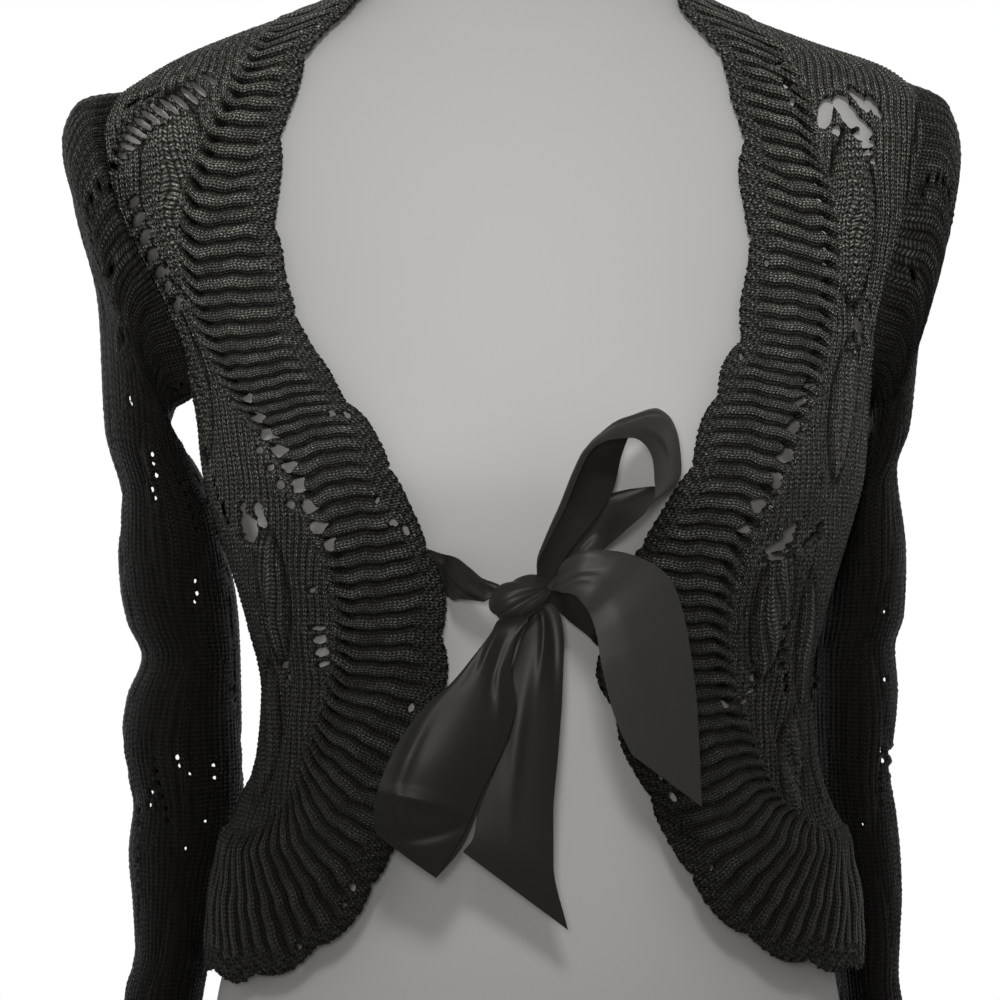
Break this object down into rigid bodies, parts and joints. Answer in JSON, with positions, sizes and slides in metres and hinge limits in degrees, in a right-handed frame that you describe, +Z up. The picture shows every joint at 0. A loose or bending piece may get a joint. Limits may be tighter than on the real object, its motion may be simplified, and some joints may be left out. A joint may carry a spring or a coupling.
{
  "type": "open-knit cardigan on dress form",
  "caption": "Long-sleeved open-knit cardigan with ribbed edging and a ribbon bow, worn on a smooth limbless dress form.",
  "frame": {"origin": "on the floor under the middle of the dress form's flat underside", "axes": "+Z up the form's neck, -Y out of the front, +X to the viewer's right when facing the front"},
  "size_m": [0.4412, 0.2891, 0.7495],
  "materials": {
    "form_jersey": "matte",
    "lace_knit": "matte",
    "rib_knit": "matte",
    "satin_ribbon": "satin"
  },
  "bodies": {
    "root": {"dress_form": "form_jersey", "back": "lace_knit", "left_front": "lace_knit", "right_front": "lace_knit", "left_sleeve": "lace_knit", "right_sleeve": "lace_knit", "left_front_band": "rib_knit", "right_front_band": "rib_knit", "neck_band": "rib_knit", "hem_band": "rib_knit", "tie_left": "satin_ribbon", "tie_right": "satin_ribbon", "knot": "satin_ribbon", "loop_up": "satin_ribbon", "loop_down": "satin_ribbon", "tail_middle": "satin_ribbon", "tail_right": "satin_ribbon"}
  },
  "joints": []
}
